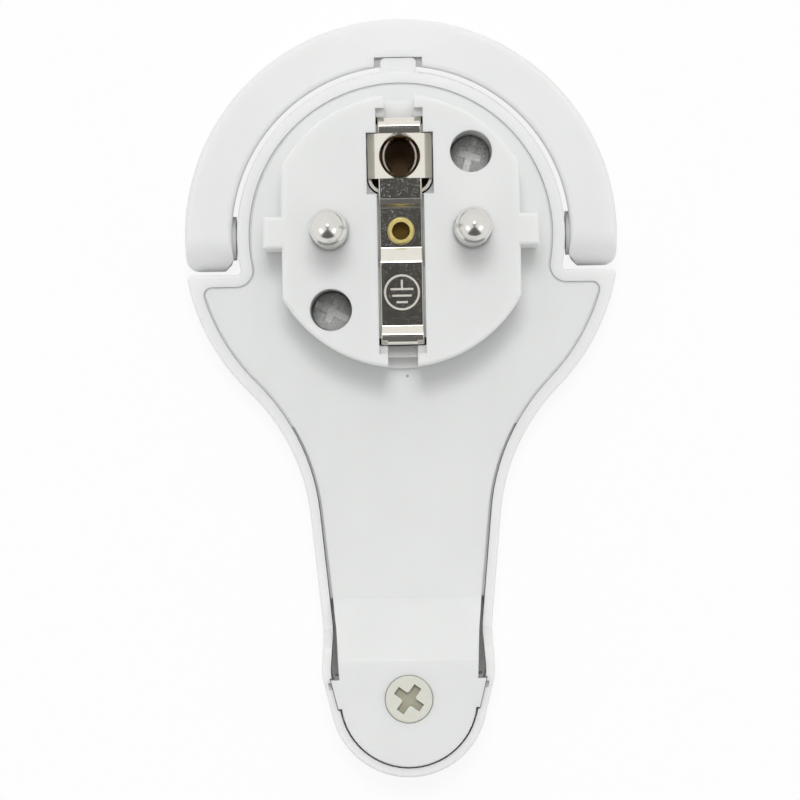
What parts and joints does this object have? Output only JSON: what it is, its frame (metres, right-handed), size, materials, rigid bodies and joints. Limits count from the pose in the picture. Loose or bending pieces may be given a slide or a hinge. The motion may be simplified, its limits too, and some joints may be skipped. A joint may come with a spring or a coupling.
{
  "type": "angled plug",
  "caption": "Flat angled earthed mains plug with round pins, side earth strip and earth-pin socket, rear cord inlet and a horseshoe pull handle that folds out to the back.",
  "frame": {"origin": "on the flat back face, behind the point midway between the pins", "axes": "+Z along the pins away from the back, +Y towards the crown of the pull handle, +X across the pins"},
  "size_m": [0.059, 0.1032, 0.045],
  "materials": {
    "white_plastic": "smooth moulded, slightly glossy",
    "nickel": "bright nickel plate on brass",
    "tinned_sheet": "tinned brass sheet, faintly speckled",
    "brass": "plain brass",
    "zinc_steel": "bright zinc plate",
    "cream_nylon": "natural nylon"
  },
  "bodies": {
    "plug_body": {"rear_housing": "white_plastic", "pin_carrier": "white_plastic", "line_pin": "nickel", "neutral_pin": "nickel", "line_terminal_screw": "zinc_steel", "neutral_terminal_screw": "zinc_steel", "earth_terminal_screw": "zinc_steel", "earth_strip": "tinned_sheet", "earth_socket_contact": "tinned_sheet", "earth_post": "brass", "upper_housing_screw": "zinc_steel", "lower_housing_screw": "zinc_steel", "cord_clamp_screw": "cream_nylon", "cord_clamp_saddle": "cream_nylon"},
    "handle": {"pull_handle": "white_plastic"}
  },
  "joints": [
    {"name": "handle_hinge", "type": "hinge", "parent": "plug_body", "child": "handle", "pos_m": [0, 0, 0.0045], "axis": [-1, 0, 0], "range_deg": [0, 90]}
  ]
}
